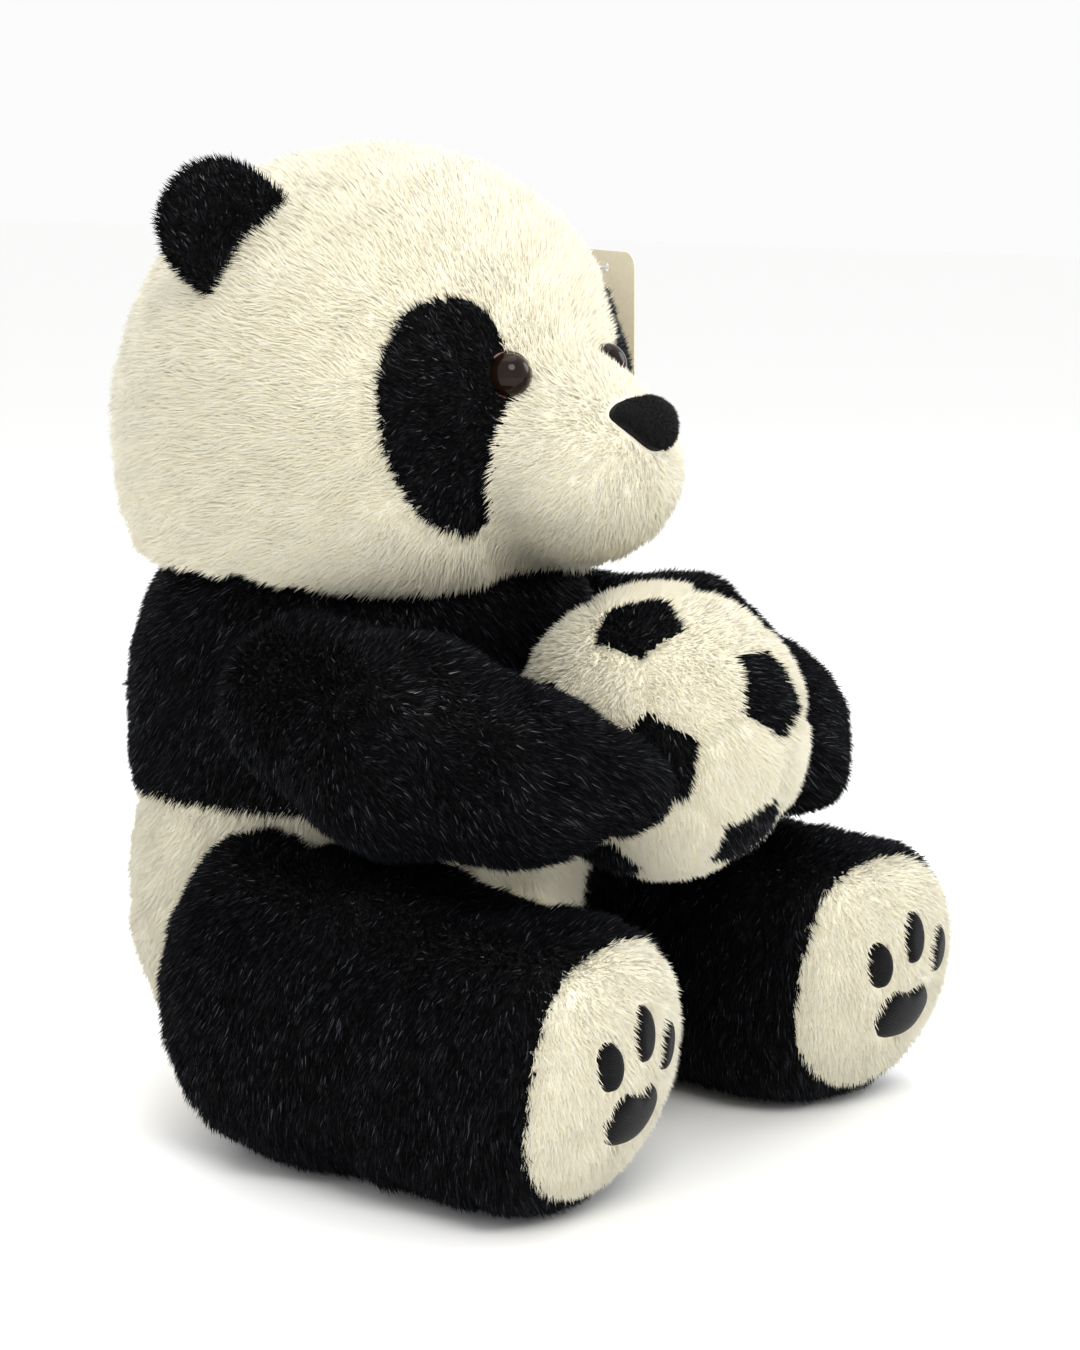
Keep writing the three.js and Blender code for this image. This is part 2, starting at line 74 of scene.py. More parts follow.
FLOOR_GAP = 0.2  # the lowest that a tuft reaches
FAR = 99.0  # a distance for places that an outline doesn't reach

# ---- Camera and lights, in metres and watts ----
CAMERA_AT = (-1.3999, 1.0808, 0.4873)  # its x, how far before BASE_Y it stands, and its height
CAMERA_HEADING = (0.808, 0.589)
CAMERA_PITCH = math.radians(9.16)
CAMERA_LENS = 102.5
CAMERA_SENSOR = 36
WORLD_LIGHT = 0.97
FLOOR_SIZE = 14
LAMPS = (  # name, place, target, size, power, colour
    ("key", (-0.9, -1.3, 1.9), (0, 0, 0.2), 1.2, 26, (1, 0.985, 0.95)),
    ("top", (0.3, 0.2, 2.0), (0, 0, 0.2), 1.6, 7, (1, 1, 1)),
    ("back", (0.7, 1.6, 1.5), (0, 0, 0.25), 1.4, 16, (1, 1, 1)),
    ("rim", (1.4, -0.7, 0.9), (0, 0, 0.25), 0.9, 7, (0.92, 0.96, 1)),
)

low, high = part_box("ball_stuffing")
BASE_Y = (low[1] + high[1]) / 2 + BALL_CENTRE[0] * MM


def place(points):
    """Points in the toy's axes, in mm, to the frame's metres."""
    p = np.atleast_2d(points) * MM
    return np.stack([p[:, 1], BASE_Y - p[:, 0], p[:, 2]], axis=1)


def turn(vectors):
    v = np.atleast_2d(vectors)
    return np.stack([v[:, 1], -v[:, 0], v[:, 2]], axis=1)


def unit(v):
    v = np.asarray(v, float)
    return v / np.maximum(np.linalg.norm(v, axis=-1, keepdims=True), 1e-9)


def on_side(side, v):
    return np.asarray(v, float) * np.array([1, side, 1])


# ---- Camera, lights and floor ----
def add_camera():
    level = math.cos(CAMERA_PITCH)
    x, y = CAMERA_HEADING
    look = Vector((x * level, y * level, -math.sin(CAMERA_PITCH)))
    data = bpy.data.cameras.new("camera")
    data.lens = CAMERA_LENS
    data.sensor_width = CAMERA_SENSOR
    camera = bpy.data.objects.new("camera", data)
    camera.location = (CAMERA_AT[0], BASE_Y - CAMERA_AT[1], CAMERA_AT[2])
    camera.rotation_euler = look.to_track_quat("-Z", "Y").to_euler()
    bpy.context.scene.collection.objects.link(camera)
    bpy.context.scene.camera = camera


def add_area(name, where, target, size, power, color):
    data = bpy.data.lights.new(name, "AREA")
    data.shape = "DISK"
    data.size = size
    data.energy = power
    data.color = color
    lamp = bpy.data.objects.new(name, data)
    lamp.location = where
    lamp.rotation_euler = (Vector(target) - Vector(where)).to_track_quat("-Z", "Y").to_euler()
    bpy.context.scene.collection.objects.link(lamp)


def add_studio():
    scene = bpy.context.scene
    world = bpy.data.worlds.new("studio")
    world.use_nodes = True
    background = world.node_tree.nodes["Background"]
    background.inputs["Color"].default_value = (1, 1, 1, 1)
    background.inputs["Strength"].default_value = WORLD_LIGHT
    scene.world = world
    scene.view_settings.view_transform = "Standard"
    for lamp in LAMPS:
        add_area(*lamp)
    bpy.ops.mesh.primitive_plane_add(size=FLOOR_SIZE)
    floor = bpy.context.object
    floor.name = "floor"
    floor.data.materials.append(new_material("pale_floor", (0.985, 0.985, 0.98), 0.7)[0])


# ---- Materials ----
def new_material(name, color, roughness):
    material = bpy.data.materials.new(name)
    material.use_nodes = True
    nodes = material.node_tree.nodes
    links = material.node_tree.links
    shader = nodes["Principled BSDF"]
    shader.inputs["Base Color"].default_value = (*color, 1)
    shader.inputs["Roughness"].default_value = roughness
    return material, shader, nodes, links


def noise(nodes, links, scale, detail, kind="ShaderNodeTexNoise"):
    where = nodes.new("ShaderNodeTexCoord")
    texture = nodes.new(kind)
    texture.inputs["Scale"].default_value = scale
    if "Detail" in texture.inputs:
        texture.inputs["Detail"].default_value = detail
    links.new(where.outputs["Object"], texture.inputs["Vector"])
    return texture


def roughened(nodes, links, shader, value, low, high):
    """A roughness that varies between two values."""
    span = nodes.new("ShaderNodeMapRange")
    span.inputs["To Min"].default_value = low
    span.inputs["To Max"].default_value = high
    links.new(value, span.inputs["Value"])
    links.new(span.outputs["Result"], shader.inputs["Roughness"])


def mottled(nodes, links, shader, value, dark, light):
    """A base colour that varies between two colours."""
    mix = nodes.new("ShaderNodeMix")
    mix.data_type = "RGBA"
    mix.inputs["A"].default_value = (*dark, 1)
    mix.inputs["B"].default_value = (*light, 1)
    links.new(value, mix.inputs["Factor"])
    links.new(mix.outputs["Result"], shader.inputs["Base Color"])


def bumped(nodes, links, shader, height, strength, distance):
    bump = nodes.new("ShaderNodeBump")
    bump.inputs["Strength"].default_value = strength
    bump.inputs["Distance"].default_value = distance
    links.new(height, bump.inputs["Height"])
    links.new(bump.outputs["Normal"], shader.inputs["Normal"])


def pile_material(name, color, roughness, spread, sheen, tint, gloss):
    """Fibres: their gloss varies from strand to strand."""
    material, shader, nodes, links = new_material(name, color, roughness)
    strands = noise(nodes, links, 900, 2).outputs["Fac"]
    roughened(nodes, links, shader, strands, roughness - spread, roughness + spread)
    shader.inputs["Specular IOR Level"].default_value = gloss
    shader.inputs["Sheen Weight"].default_value = sheen
    shader.inputs["Sheen Roughness"].default_value = 0.45
    shader.inputs["Sheen Tint"].default_value = (*tint, 1)
    return material


def cloth_material(name, dark, light, roughness, depth=0.0006):
    """The knitted backing between the strands: mottled, with a fine loop pattern."""
    material, shader, nodes, links = new_material(name, light, roughness)
    mottle = noise(nodes, links, 55, 4).outputs["Fac"]
    mottled(nodes, links, shader, mottle, dark, light)
    shader.inputs["Specular IOR Level"].default_value = 0.2
    loops = noise(nodes, links, 700, 2, "ShaderNodeTexVoronoi")
    bumped(nodes, links, shader, loops.outputs["Distance"], 0.6, depth)
    roughened(nodes, links, shader, mottle, roughness - 0.08, roughness + 0.05)
    return material


CREAM = ((0.98, 0.925, 0.74), (0.965, 0.9, 0.67), (0.985, 0.95, 0.8), (0.93, 0.855, 0.65))
INK = (  # colour, roughness and specular level, from dull to glossy strands; the last row's lighter blue-grey colour is a painted glint on top of its real gloss
    ((0.0015, 0.0015, 0.002), 0.65, 0.04),
    ((0.003, 0.003, 0.004), 0.55, 0.06),
    ((0.007, 0.008, 0.011), 0.42, 0.14),
    # painted glints: strands lighter and bluer than the black cloth, scattered to stand in for
    # sparkle
    ((0.03, 0.034, 0.046), 0.3, 0.45),
)
VELOUR = (0.004, 0.004, 0.004)


def make_materials():
    m = {}
    m["ivory_cloth"] = cloth_material("ivory_cloth", (0.91, 0.85, 0.68), (0.97, 0.93, 0.78), 0.9)
    m["black_cloth"] = cloth_material(
        "black_cloth", (0.0012, 0.0012, 0.0016), (0.003, 0.003, 0.004), 0.85
    )
    m["ivory"] = [
        pile_material(f"ivory_pile_{i}", color, 0.75, 0.12, 0.25, (1, 0.98, 0.92), 0.3)
        for i, color in enumerate(CREAM)
    ]
    m["black"] = [
        pile_material(f"black_pile_{i}", color, roughness, 0.1, 0.012, (0.7, 0.8, 1), gloss)
        for i, (color, roughness, gloss) in enumerate(INK)
    ]
    m["velour"] = [pile_material("black_velour_pile", VELOUR, 0.7, 0.1, 0.03, (1, 1, 1), 0.12)]
    m["thread"] = thread_material()
    return m


# ---- Fields: negative inside a shape, and about the distance to it ----
def ellipsoid(centre, radii, squareness=2.0):
    centre, radii = np.asarray(centre, float), np.asarray(radii, float)

    def field(p):
        q = np.abs(p - centre) / radii
        reach = np.maximum((q**squareness).sum(-1) ** (1 / squareness), 1e-6)
        return (reach - 1) * np.linalg.norm(p - centre, axis=-1) / reach

    return field


def taper(a, radius_a, b, radius_b):
    a, b = np.asarray(a, float), np.asarray(b, float)

    def field(p):
        along = b - a
        t = np.clip(((p - a) @ along) / (along @ along), 0, 1)
        nearest = a + t[..., None] * along
        return np.linalg.norm(p - nearest, axis=-1) - (radius_a + t * (radius_b - radius_a))

    return field


def blend(softness, *fields):
    def field(p):
        d = fields[0](p)
        for other in fields[1:]:
            e = other(p)
            h = np.maximum(softness - np.abs(d - e), 0) / softness
            d = np.minimum(d, e) - h * h * softness / 4
        return d

    return field


def common(softness, *fields):
    outer = blend(softness, *[lambda p, f=f: -f(p) for f in fields])
    return lambda p: -outer(p)


def sphere(centre, radius):
    return lambda p: np.linalg.norm(p - centre, axis=-1) - radius


def outside(field):
    return lambda p: -field(p)


def mirrored(field, side):
    return lambda p: field(p * np.array([1, side, 1]))


def gradient(field, p, step=0.4):
    steps = np.eye(3) * step
    return unit(np.stack([field(p + s) - field(p - s) for s in steps], axis=-1))


# ---- Wavy noise, smooth and repeatable ----
def waves(p, size, seed, octaves=3):
    """A smooth random value about -1..1, whose bumps are `size` mm wide."""
    r = np.random.default_rng(seed)
    total = np.zeros(len(p))
    for octave in range(octaves):
        for _ in range(5):
            k = unit(r.normal(size=3)) * (2 * math.pi / (size / 1.8**octave))
            total += np.sin(p @ k + r.uniform(0, 6.3)) * 0.6**octave
    return total / 3.2


# ---- Shapes of the stuffed parts ----
head_field = common(
    5,
    blend(
        16,
        ellipsoid((-33, 0, 340), (114, 127, 110)),  # skull
        ellipsoid((-33, 0, 306), (108, 119, 84), 2.7),  # jowls
        ellipsoid((82, 0, 304), (50, 54, 47)),  # muzzle
        ellipsoid((66, 0, 332), (42, 34, 28)),  # bridge of the nose
    ),
    lambda p: NECK_Z + 1.5 - PILE - p[:, 2],
    outside(sphere(NECK_PIVOT, HEAD_HOLLOW - PILE)),
)
torso_field = common(
    5,
    blend(
        20,
        ellipsoid((-42, 0, 101), (104, 115, 110), 2.3),  # belly
        ellipsoid((-42, 0, 200), (98, 108, 92), 3),  # chest
    ),
    lambda p: SEAT_Z - p[:, 2],
    lambda p: np.where(p[:, 2] > 200, sphere(NECK_PIVOT, TORSO_CROWN_RADIUS)(p), -50),
)


def sole_looks(side):
    return unit([math.cos(TOE_IN), -side * math.sin(TOE_IN), -math.tan(SOLE_TILT)])


def sole_dome(p):
    """Rounds the front of the left foot, and leaves the rest of the leg alone."""
    out = p - (FOOT - SOLE_DOME_RADIUS * sole_looks(LEFT))
    depth = np.linalg.norm(out, axis=1) - SOLE_DOME_RADIUS
    return np.where(out @ sole_looks(LEFT) > 0, depth, -60)


leg_field = common(
    8,
    blend(
        22,
        ellipsoid(HIP, (45, 45, 70)),
        ellipsoid((36, 107, 69), (86, 62, 76), 2.4),  # thigh
        ellipsoid((132, 110, 62), (80, 64, 67), 2.7),  # foot
    ),
    sole_dome,
    lambda p: SEAT_Z - p[:, 2],
)
ARM_RADII = (44, 49, 40, 26)  # at the shoulder, elbow, wrist and tip
ARMS = {  # elbow, wrist and tip
    "right": ((72, 115, 193), (126, 105, 184), (158, 80, 181)),
    "left": ((62, 109, 193), (116, 102, 174), (150, 80, 162)),
}


def arm_field(side_name):
    joints = (SHOULDER, *ARMS[side_name])
    lengths = [
        taper(a, radius_a, b, radius_b)
        for a, radius_a, b, radius_b in zip(joints, ARM_RADII, joints[1:], ARM_RADII[1:])
    ]
    return common(6, blend(16, *lengths), outside(sphere(BALL_CENTRE, BALL_RADIUS - 2)))


# ---- Skins ----
CLOTH, THIN = 1.5, 1.0  # the cloth's thickness on the bodies, and on the ears and the ball


def ico(level):
    bm = bmesh.new()
    bmesh.ops.create_icosphere(bm, subdivisions=level, radius=1)
    rays = np.array([v.co[:] for v in bm.verts])
    faces = np.array([[v.index for v in f.verts] for f in bm.faces])
    bm.free()
    return unit(rays), faces


RAY_LEVEL = 6
RAYS, RAY_FACES = ico(RAY_LEVEL)
LONGEST_RAY = 320.0


def puff(field, centre, inset, stretch=(1, 1, 1)):
    """The field's surface, `inset` under it, met along rays from `centre`."""
    centre = np.asarray(centre, float)
    rays = unit(RAYS * np.asarray(stretch, float))
    near, far = np.zeros(len(rays)), np.full(len(rays), LONGEST_RAY)
    for _ in range(22):
        middle = (near + far) / 2
        inside = field(centre + rays * middle[:, None]) < -inset
        near, far = np.where(inside, middle, near), np.where(inside, far, middle)
    return centre + rays * near[:, None]


def pinched(skin, normals, distance, depth, width):
    """A skin drawn in along a seam."""
    return skin - normals * (depth * np.exp(-((distance / width) ** 2)))[:, None]


def link(name, mesh):
    obj = bpy.data.objects.new(name, mesh)
    bpy.context.scene.collection.objects.link(obj)
    return obj


def mesh_object(name, points, faces, material):
    mesh = bpy.data.meshes.new(name)
    mesh.from_pydata(place(points).tolist(), [], [tuple(f) for f in np.asarray(faces).tolist()])
    mesh.materials.append(material)
    mesh.update()
    mesh.shade_smooth()
    return link(name, mesh)


def face_outward(obj, weld):
    """Turns every face outward, and joins corners that meet if asked."""
    bm = bmesh.new()
    bm.from_mesh(obj.data)
    if weld:
        bmesh.ops.remove_doubles(bm, verts=bm.verts, dist=1e-6)
    bmesh.ops.recalc_face_normals(bm, faces=bm.faces)
    bm.to_mesh(obj.data)
    bm.free()


def rings_to_faces(rings, count):
    """Faces of a closed pad: bands of `count` corners, as many again under them, and a rim."""
    n = (rings + 1) * count
    faces = []
    for k in range(rings):
        for j in range(count):
            a, b = k * count + j, k * count + (j + 1) % count
            c, d = a + count, b + count
            faces.append((a, c, d, b))
            faces.append((n + a, n + b, n + d, n + c))
    rim = rings * count
    for j in range(count):
        a, b = rim + j, rim + (j + 1) % count
        faces.append((a, n + a, n + b, b))
    return faces


def panel(name, points, faces, keep, material, thickness=CLOTH):
    """The faces of a skin whose middles are kept, as cloth with a thickness."""
    chosen = faces[keep]
    used, packed = np.unique(chosen, return_inverse=True)
    obj = mesh_object(name, points[used], packed.reshape(chosen.shape), material)
    wall = obj.modifiers.new("wall", "SOLIDIFY")
    wall.thickness = thickness * MM
    wall.offset = -1
    return obj


# ---- Pile ----
CHUNK = 48000  # tufts in one piece
# the last black share is the painted-glint strands, lighter blue-grey among the dull black
SHARES = {"ivory": [0.4, 0.3, 0.2, 0.1], "black": [0.5, 0.33, 0.145, 0.025]}
SPACING = 1.08
PILE_LENGTH, PILE_WIDTH, PILE_LEAN = 6.4, 0.47, 1.05
ROOT_DEPTH = 0.8
RUFFLE = 0.15  # how far the tufts stray from their heading
TUFT = np.array([[0, 1, 3], [1, 2, 3], [2, 0, 3], [2, 1, 0]])


def scatter(points, faces, spacing, seed):
    """Evenly spread points on a triangle mesh, one for each square of `spacing`."""
    r = np.random.default_rng(seed)
    a, b, c = (points[faces[:, i]] for i in range(3))
    areas = np.linalg.norm(np.cross(b - a, c - a), axis=1) / 2
    ends = np.cumsum(areas)
    count = int(ends[-1] / spacing**2)
    marks = (np.arange(count) + r.uniform(0.0, 1.0, count)) * (ends[-1] / count)
    face = np.minimum(np.searchsorted(ends, marks), len(faces) - 1)
    u, v = r.uniform(size=(2, count))
    flip = u + v > 1
    u, v = np.where(flip, 1 - u, u), np.where(flip, 1 - v, v)
    return a[face] + u[:, None] * (b - a)[face] + v[:, None] * (c - a)[face]


def along_skin(nap, normals):
    """The nap's direction within the skin."""
    return unit(nap - (nap * normals).sum(1, keepdims=True) * normals)


def tuft_ways(roots, normals, nap, lean, seed, r):
    """Which way each tuft points: along the nap, swaying and rising from place to place."""
    tangent = along_skin(nap, normals)
    sway = waves(roots, size=26, seed=seed + 1)[:, None] * 0.35
    heading = unit(tangent + np.cross(normals, tangent) * sway)
    lean = lean * (1 + 0.1 * waves(roots, size=22, seed=seed + 2))[:, None]
    loose = r.normal(scale=RUFFLE, size=roots.shape)
    way = unit(normals * np.cos(lean) + heading * np.sin(lean) + loose)
    return unit(way + normals * 0.1)


def tuft_corners(roots, normals, way, reach, width, spin):
    """Three root corners and a tip for each tuft, and the direction each corner is shaded in."""
    first = unit(np.cross(way, np.roll(way, 1, axis=1) + 0.37))
    second = np.cross(way, first)
    corners, shading = [], []
    for k in range(3):
        angle = spin + k * 2 * math.pi / 3
        out = first * np.cos(angle)[:, None] + second * np.sin(angle)[:, None]
        corners.append(roots - normals * ROOT_DEPTH + out * width)
        shading.append(unit(normals * 0.8 + out * 0.25 + way * 0.15))
    corners.append(roots + way * reach)
    shading.append(unit(normals * 0.8 + way * 0.3))
    corners = np.stack(corners, axis=1)
    corners[:, :, 2] = np.maximum(corners[:, :, 2], FLOOR_GAP)
    return corners, np.stack(shading, axis=1)


def tuft_mesh(name, corners, shading, slots, kinds):
    n = len(corners)
    mesh = bpy.data.meshes.new(name)
    loops = (TUFT[None] + 4 * np.arange(n)[:, None, None]).reshape(-1)
    mesh.vertices.add(4 * n)
    mesh.vertices.foreach_set("co", place(corners.reshape(-1, 3)).ravel())
    mesh.loops.add(len(loops))
    mesh.loops.foreach_set("vertex_index", loops)
    mesh.polygons.add(4 * n)
    mesh.polygons.foreach_set("loop_start", np.arange(0, 12 * n, 3))
    for slot in slots:
        mesh.materials.append(slot)
    mesh.polygons.foreach_set("material_index", np.repeat(kinds, 4))
    mesh.update()
    mesh.shade_smooth()
    mesh.normals_split_custom_set_from_vertices(turn(shading.reshape(-1, 3)).tolist())
    return mesh


def grow_pile(name, body, roots, normals, nap, slots, shares, length, width, lean, seed):
    """Slim closed tufts, split into pieces that stay light."""
    r = np.random.default_rng(seed)
    count = len(roots)
    way = tuft_ways(roots, normals, nap, lean, seed, r)
    uneven = 0.09 * waves(roots, size=12, seed=seed + 3)
    reach = length * (1 + uneven + r.normal(scale=0.12, size=count))
    reach = np.clip(reach, 0.45 * length, 1.5 * length)[:, None]
    spin = r.uniform(0, 2 * math.pi, count)
    corners, shading = tuft_corners(roots, normals, way, reach, width, spin)
    kinds = r.choice(len(slots), size=count, p=shares)
    pieces = max(1, math.ceil(count / CHUNK))
    order = np.argsort(roots[:, 2], kind="stable")
    for i, part in enumerate(np.array_split(order, pieces)):
        label = name if pieces == 1 else f"{name}_{i + 1}"
        obj = link(label, tuft_mesh(label, corners[part], shading[part], slots, kinds[part]))
        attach(obj, body)


def nap_at(nap, roots):
    """The nap at each root, from one direction or from a function of the place."""
    return nap(roots) if callable(nap) else np.broadcast_to(np.asarray(nap, float), roots.shape)


def tips(roots, field, nap, length=PILE_LENGTH, lean=PILE_LEAN):
    """About where the tufts on these roots end, which decides the colour they show."""
    normals = gradient(field, roots)
    tangent = along_skin(nap_at(nap, roots), normals)
    return roots + length * (0.8 * math.sin(lean) * tangent + math.cos(lean) * normals)


def pile(name, body, roots, field, nap, color, length, width=PILE_WIDTH, lean=PILE_LEAN, *, seed):
    """Plush pile of one colour over the roots; each has a seed of its own."""
    normals = gradient(field, roots)
    way = nap_at(nap, roots)
    grow_pile(name, body, roots, normals, way, M[color], SHARES[color], length, width, lean, seed)


# ---- Outlines ----
def smooth_outline(points, mirror, steps):
    """A smooth closed outline through a few points."""
    p = np.array(points, float) * np.array([mirror, 1])
    rows = []
    for i in range(len(p)):
        a, b, c, d = (p[(i + k) % len(p)] for k in (-1, 0, 1, 2))
        for t in np.arange(steps) / steps:
            rows.append(
                0.5 * (2 * b + (c - a) * t + (2 * a - 5 * b + 4 * c - d) * t**2
                       + (3 * b - a - 3 * c + d) * t**3)
            )
    return np.array(rows)


def outline_distance(outline, q):
    """Distance to an outline, negative inside."""
    a, b = outline, np.roll(outline, -1, axis=0)
    best = np.full(len(q), np.inf)
    inside = np.zeros(len(q), bool)
    for start, end in zip(a, b):
        edge = end - start
        t = np.clip(((q - start) @ edge) / (edge @ edge), 0, 1)
        best = np.minimum(best, np.linalg.norm(q - start - t[:, None] * edge, axis=1))
        spans = (start[1] > q[:, 1]) != (end[1] > q[:, 1])
        crossing = start[0] + (q[:, 1] - start[1]) * edge[0] / (edge[1] if edge[1] else 1e-9)
        inside ^= spans & (q[:, 0] < crossing)
    return np.where(inside, -best, best)


def board(facing):
    """The axes of a flat board that faces this way: across, upright and facing."""
    facing = unit(facing)
    across = unit(np.cross((0, 0, 1), facing))
    return across, np.cross(facing, across), facing


def on_board(p, centre, looks):
    """Points as they fall on a board at `centre`, and how far before it they lie."""
    across, upright, facing = board(looks)
    q = p - centre
    return np.stack([q @ across, q @ upright], axis=1), q @ facing


# ---- Head ----
PATCH = np.array([58.0, 72, 332])
PATCH_LOOKS = np.array([0.85, 0.53, 0])
PATCH_OUTLINES = {
    RIGHT: [(8, 53), (-14, 46), (-28, 25), (-31, 2), (-26, -22), (-13, -44), (4, -54),
            (22, -54), (34, -30), (34, 10), (33, 32), (24, 48)],
    LEFT: [(0, 50), (-18, 44), (-31, 25), (-33, 2), (-28, -22), (-14, -44), (4, -54),
           (22, -54), (34, -30), (33, 8), (22, 22), (12, 42)],
}
PATCH_REACH = 45.0  # how far behind its board a patch still counts
muzzle_region = ellipsoid((96, 0, 302), (60, 62, 58))
HEAD_MIDDLE = (-15, 0, 340)
FACE_PILE, PATCH_PILE, HEAD_PILE = 5.5, 6.0, 7.0
EYE_BARE = 9.0  # no pile grows this near the middle of an eye
NOSE_GAP = 0.2


def patch_distance(side, p):
    flat, ahead = on_board(p, on_side(side, PATCH), on_side(side, PATCH_LOOKS))
    d = outline_distance(smooth_outline(PATCH_OUTLINES[side], -side, 8), flat)
    return np.where(ahead > -PATCH_REACH, d, FAR)


def head_panels(p):
    """Signed distances to the muzzle and the two eye patches, negative inside."""
    muzzle = muzzle_region(p)
    right = np.maximum(patch_distance(RIGHT, p), -muzzle)
    left = np.maximum(patch_distance(LEFT, p), -muzzle)
    return muzzle, right, left


def head_nap(p):
    """The pile runs from the nose over the face to the back, and down at the cheeks."""
    back = unit(p - np.array([135.0, 0, 335]))
    return back + np.array([0, 0, -0.35]) * np.clip((p[:, 0:1] + 30) / -60, 0, 1)


def build_head():
    skin = puff(head_field, HEAD_MIDDLE, PILE)
    muzzle, right, left = head_panels(skin)
    seam = np.minimum(np.abs(muzzle), np.minimum(np.abs(right), np.abs(left)))
    normals = gradient(head_field, skin)
    skin = pinched(skin, normals, seam, depth=2.2, width=3.5)
    skin += normals * (0.7 * waves(skin, size=90, seed=5, octaves=2))[:, None]
    middles = tips(skin[RAY_FACES].mean(axis=1), head_field, head_nap)
    muzzle, right, left = head_panels(middles)
    parts = {
        "muzzle_cover": muzzle < 0,
        "right_eye_patch": right < 0,
        "left_eye_patch": left < 0,
        "head_cover": np.min([muzzle, right, left], axis=0) >= 0,
    }
    for node, keep in parts.items():
        black = "patch" in node
        cloth = M["black_cloth" if black else "ivory_cloth"]
        obj = panel(f"{node}_cloth", skin, RAY_FACES, keep, cloth)
        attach(obj, "head")
        if node == "head_cover":
            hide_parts(node, "head_stuffing")
        else:
            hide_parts(node)
    roots = scatter(skin, RAY_FACES, SPACING, seed=11)
    roots = roots[sphere(NECK_PIVOT, HEAD_HOLLOW + 0.7)(roots) >= 0]
    eyes = np.minimum(*(np.linalg.norm(roots - eye_seat(s), axis=1) for s in (RIGHT, LEFT)))
    roots = roots[eyes > EYE_BARE]
    ends = tips(roots, head_field, head_nap)
    clear = np.minimum(nose_distance(roots), nose_distance(ends)) > NOSE_GAP
    roots, ends = roots[clear], ends[clear]
    muzzle, right, left = head_panels(ends)
    groups = {
        "muzzle_pile": (muzzle < 0, "ivory", FACE_PILE),
        "right_patch_pile": (right < 0, "black", PATCH_PILE),
        "left_patch_pile": (left < 0, "black", PATCH_PILE),
        "head_pile": (np.min([muzzle, right, left], axis=0) >= 0, "ivory", HEAD_PILE),
    }
    for i, (name, (keep, color, length)) in enumerate(groups.items()):
        pile(name, "head", roots[keep], head_field, head_nap, color, length, seed=20 + i)


# ---- Eyes and nose ----
SEARCH = 60.0  # how far from its start a line looks for the surface
SEGMENTS = 48  # round a turned solid
EYE_SUNK = 3.5  # how far the middle of an eye's dome lies under its seat


def surface_point(field, start, direction, inset):
    """Where a line through `start` comes to `inset` under the field's surface."""
    direction = unit(direction)
    near, far = -SEARCH, SEARCH
    for _ in range(30):
        middle = (near + far) / 2
        if field((start + direction * middle)[None])[0] < -inset:
            near = middle
        else:
            far = middle
    return start + direction * near


def eye_seat(side):
    return on_side(side, surface_point(head_field, EYE, EYE_LOOKS, EYE_INSET))


def lathe(name, profile, origin, axis, material):
    """A closed solid turned about `axis`: profile points are (radius, height)."""
    axis = unit(axis)
    first = unit(np.cross(axis, (0.3, 0.2, 1)))
    second = np.cross(axis, first)
    points, faces, rings = [], [], []
    for radius, height in profile:
        middle = origin + axis * height
        if radius < 1e-6:
            rings.append([len(points)])
            points.append(middle)
            continue
        rings.append(list(range(len(points), len(points) + SEGMENTS)))
        for k in range(SEGMENTS):
            a = 2 * math.pi * k / SEGMENTS
            points.append(middle + radius * (first * math.cos(a) + second * math.sin(a)))
    for lower, upper in zip(rings, rings[1:]):
        for k in range(SEGMENTS):
            n = (k + 1) % SEGMENTS
            if len(lower) == 1:
                faces.append((lower[0], upper[n], upper[k]))
            elif len(upper) == 1:
                faces.append((lower[k], lower[n], upper[0]))
            else:
                faces.append((lower[k], lower[n], upper[n], upper[k]))
    mesh = bpy.data.meshes.new(name)
    mesh.from_pydata(place(np.array(points)).tolist(), [], faces)
    mesh.materials.append(material)
    mesh.shade_smooth()
    obj = link(name, mesh)
    face_outward(obj, weld=False)
    return obj


def build_eyes():
    plastic, shader, nodes, links = new_material("eye_plastic", (0.012, 0.006, 0.004), 0.06)
    depth = noise(nodes, links, 160, 3)
    ramp = nodes.new("ShaderNodeValToRGB")
    ramp.color_ramp.elements[0].color = (0.004, 0.002, 0.0015, 1)
    ramp.color_ramp.elements[1].color = (0.02, 0.009, 0.004, 1)
    links.new(depth.outputs["Fac"], ramp.inputs["Fac"])
    links.new(ramp.outputs["Color"], shader.inputs["Base Color"])
    roughened(nodes, links, shader, noise(nodes, links, 420, 4).outputs["Fac"], 0.03, 0.1)
    shader.inputs["Coat Weight"].default_value = 0.06
    shader.inputs["Coat Roughness"].default_value = 0.03
    shader.inputs["Specular IOR Level"].default_value = 0.16
    brown, shader, nodes, links = new_material("eye_rim", (0.09, 0.03, 0.012), 0.15)
    roughened(nodes, links, shader, noise(nodes, links, 300, 3).outputs["Fac"], 0.1, 0.25)
    shader.inputs["Coat Weight"].default_value = 0.8
    for name, side in SIDES.items():
        axis = unit(on_side(side, EYE_LOOKS))
        seat = eye_seat(side)
        r = EYE_RADIUS
        dome = [(0, -6), (r - 0.9, -6), (r - 0.2, -5), (r, -EYE_SUNK)]
        dome += [
            (r * math.cos(a), r * math.sin(a) - EYE_SUNK) for a in np.linspace(0.05, 1.5, 18)
        ]
        dome.append((0, r - EYE_SUNK))
        eye = lathe(f"{name}_eye_dome", dome, seat, axis, plastic)
        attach(eye, "head")
        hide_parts(f"{name}_eye")
        rim = [(r - 0.2, -4.4), (r + 0.7, -4.2), (r + 1, -3.4), (r + 0.6, -2.6), (r - 0.1, -2.4)]
        rim.append(rim[0])
        ring = lathe(f"{name}_eye_rim", rim, seat, axis, brown)
        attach(ring, "head")


